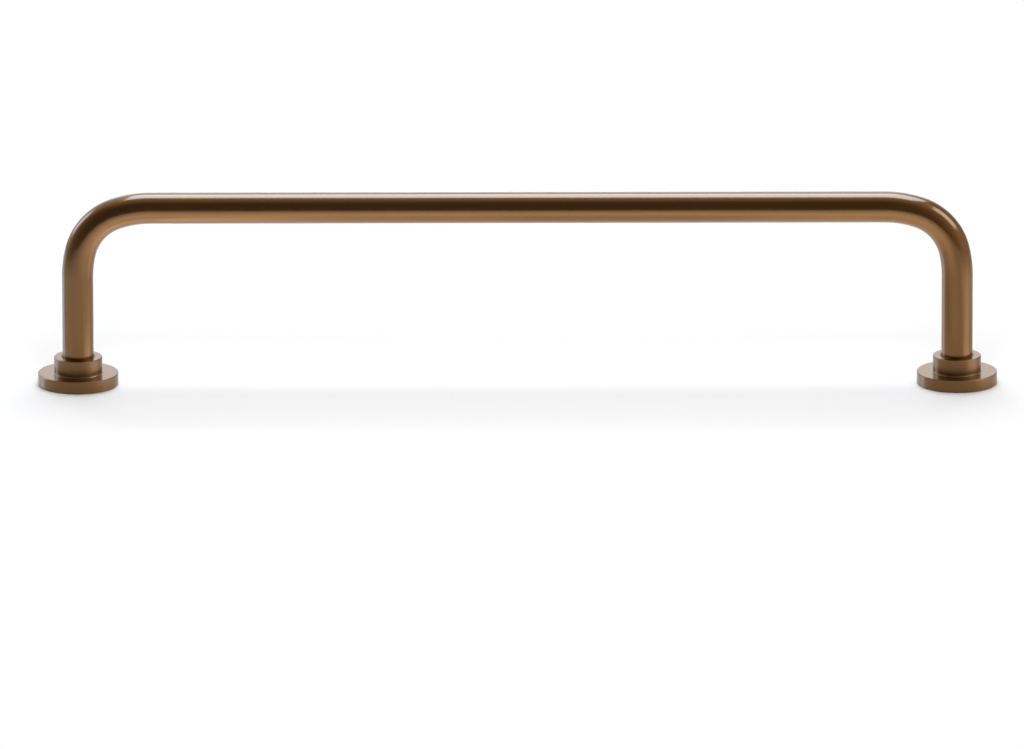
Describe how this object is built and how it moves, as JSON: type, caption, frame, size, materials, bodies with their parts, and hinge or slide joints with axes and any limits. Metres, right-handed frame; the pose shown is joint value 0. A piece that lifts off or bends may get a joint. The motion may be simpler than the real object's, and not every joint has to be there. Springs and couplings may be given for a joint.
{
  "type": "arch pull",
  "caption": "Round-bar arch pull for a drawer or cabinet door: a bent solid bar whose ends seat in stepped turned bases, screwed on from behind.",
  "frame": {"origin": "midway between the two bases, on the face that meets the drawer front", "axes": "+Z out from the drawer front towards the bar, +X along the pull, +Y across it"},
  "size_m": [0.2444, 0.0204, 0.0504],
  "materials": {
    "aged_brass": "aged brass: brown patina under clear lacquer, satin to semi-gloss, finely brushed along the bar and round the bases"
  },
  "bodies": {
    "root": {"bar": "aged_brass", "left_base": "aged_brass", "right_base": "aged_brass"}
  },
  "joints": []
}
